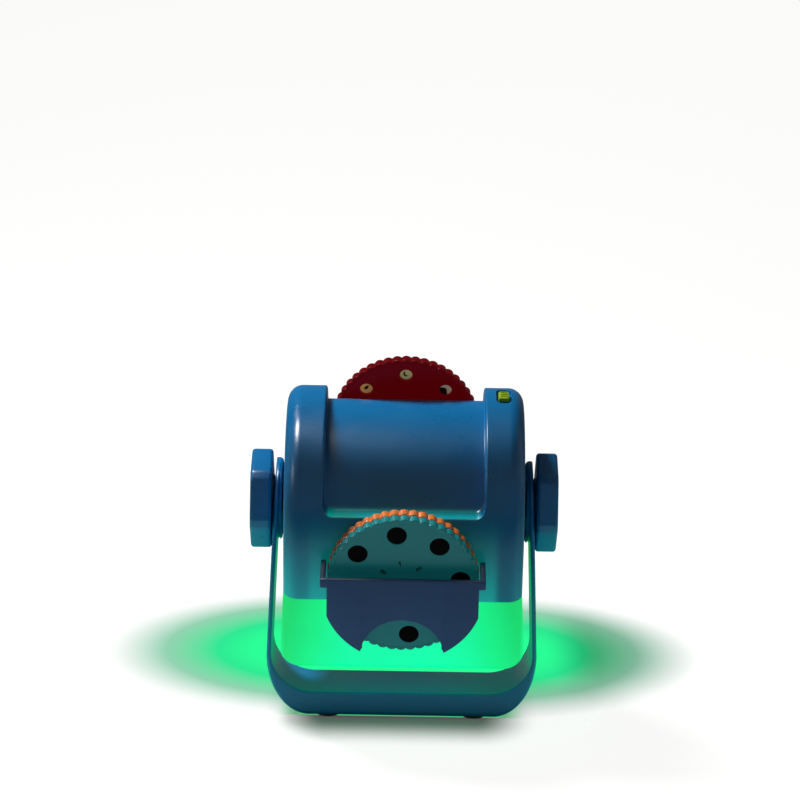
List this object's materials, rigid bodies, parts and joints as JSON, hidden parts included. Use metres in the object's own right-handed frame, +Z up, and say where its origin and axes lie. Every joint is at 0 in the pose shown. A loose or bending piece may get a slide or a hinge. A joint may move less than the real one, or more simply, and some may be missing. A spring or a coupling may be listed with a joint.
{
  "type": "slide projector lamp",
  "caption": "Child's slide projector and night light: a drum-topped head that tilts between the knobs of a U stand, with picture discs in its top slot and rear pocket.",
  "frame": {"origin": "on the floor, under the middle of the tilt axis, at the centre of the stand's footprint", "axes": "+X to the right along the tilt axis, +Y the way the lens looks, +Z up"},
  "size_m": [0.142, 0.1357, 0.1667],
  "materials": {
    "blue_plastic": "glossy",
    "navy_plastic": "glossy",
    "lime_plastic": "glossy",
    "red_plastic": "glossy",
    "orange_plastic": "glossy",
    "teal_plastic": "glossy",
    "film": "glossy film",
    "milky_plastic": "milky, lit from inside",
    "black_plastic": "matte",
    "rubber": "matte",
    "steel": "plated",
    "brass": "turned",
    "circuit_board": "solder mask",
    "lens_acrylic": "clear",
    "cell_wrap": "shrink sleeve",
    "lamp_resin": "clear resin"
  },
  "bodies": {
    "stand": {"stand": "blue_plastic", "stand_foot_front_left": "rubber", "stand_foot_front_right": "rubber", "stand_foot_rear_left": "rubber", "stand_foot_rear_right": "rubber"},
    "head": {"rear_shell": "blue_plastic", "front_shell": "blue_plastic", "shell_screw_lower_left": "steel", "shell_screw_lower_right": "steel", "shell_screw_upper_left": "steel", "shell_screw_upper_right": "steel", "diffuser": "milky_plastic", "disc_pocket": "navy_plastic", "pivot_insert_left": "brass", "pivot_insert_right": "brass", "tilt_washer_left": "rubber", "tilt_washer_right": "rubber", "disc_guide": "black_plastic", "detent_spring": "steel", "lamp_board": "circuit_board", "lamp_led": "lamp_resin", "condenser_tube": "black_plastic", "condenser_lens": "lens_acrylic", "switch_body": "steel", "main_board": "circuit_board", "board_chip": "black_plastic", "board_capacitor": "black_plastic", "night_light_board": "circuit_board", "night_light_led_front_left": "lamp_resin", "night_light_led_front_right": "lamp_resin", "night_light_led_rear_left": "lamp_resin", "night_light_led_rear_right": "lamp_resin", "battery_box": "black_plastic", "battery_cell_1": "cell_wrap", "battery_cell_2": "cell_wrap", "battery_cell_3": "cell_wrap", "battery_contact_left": "steel", "battery_contact_right": "steel", "battery_cover": "blue_plastic", "battery_cover_screw": "steel"},
    "left_knob": {"knob_left": "blue_plastic", "pivot_bolt_left": "steel"},
    "right_knob": {"knob_right": "blue_plastic", "pivot_bolt_right": "steel"},
    "disc_in_use": {"red_disc": "red_plastic", "red_disc_film": "film"},
    "stored_disc_inner": {"orange_disc": "orange_plastic", "orange_disc_film": "film"},
    "stored_disc_outer": {"teal_disc": "teal_plastic", "teal_disc_film": "film"},
    "focus": {"focus_ring": "lime_plastic"},
    "barrel": {"lens_barrel": "black_plastic", "rear_objective": "lens_acrylic", "front_objective": "lens_acrylic", "lens_retaining_ring": "black_plastic"},
    "switch": {"switch_slider": "lime_plastic"}
  },
  "joints": [
    {"name": "head_tilt", "type": "hinge", "parent": "stand", "child": "head", "pos_m": [0, 0, 0.1], "axis": [1, 0, 0], "range_deg": [-77, 72]},
    {"name": "left_knob_turn", "type": "hinge", "parent": "head", "child": "left_knob", "pos_m": [-0.066, 0, 0.1], "axis": [1, 0, 0], "continuous": true},
    {"name": "right_knob_turn", "type": "hinge", "parent": "head", "child": "right_knob", "pos_m": [0.066, 0, 0.1], "axis": [1, 0, 0], "continuous": true},
    {"name": "disc_in_use_turn", "type": "hinge", "parent": "head", "child": "disc_in_use", "pos_m": [0, 0.01844, 0.13313], "axis": [0, 0.9542, 0.299], "continuous": true},
    {"name": "inner_disc_lift", "type": "slide", "parent": "head", "child": "stored_disc_inner", "axis": [0, -0.299, 0.9542], "range_m": [0, 0.055]},
    {"name": "outer_disc_lift", "type": "slide", "parent": "head", "child": "stored_disc_outer", "axis": [0, -0.299, 0.9542], "range_m": [0, 0.055]},
    {"name": "focus_turn", "type": "hinge", "parent": "head", "child": "focus", "pos_m": [0, 0.05525, 0.11731], "axis": [0, 0.9542, 0.299], "range_deg": [-60, 60]},
    {"name": "barrel_slide", "type": "slide", "parent": "head", "child": "barrel", "axis": [0, 0.9542, 0.299], "range_m": [-0.003, 0.003]},
    {"name": "switch_slide", "type": "slide", "parent": "head", "child": "switch", "axis": [0, 0.9871, 0.1599], "range_m": [-0.0024, 0.0024]}
  ],
  "couplings": [
    {"joint": "barrel_slide", "follows": "focus_turn", "m_per_rad": 0.002865}
  ]
}
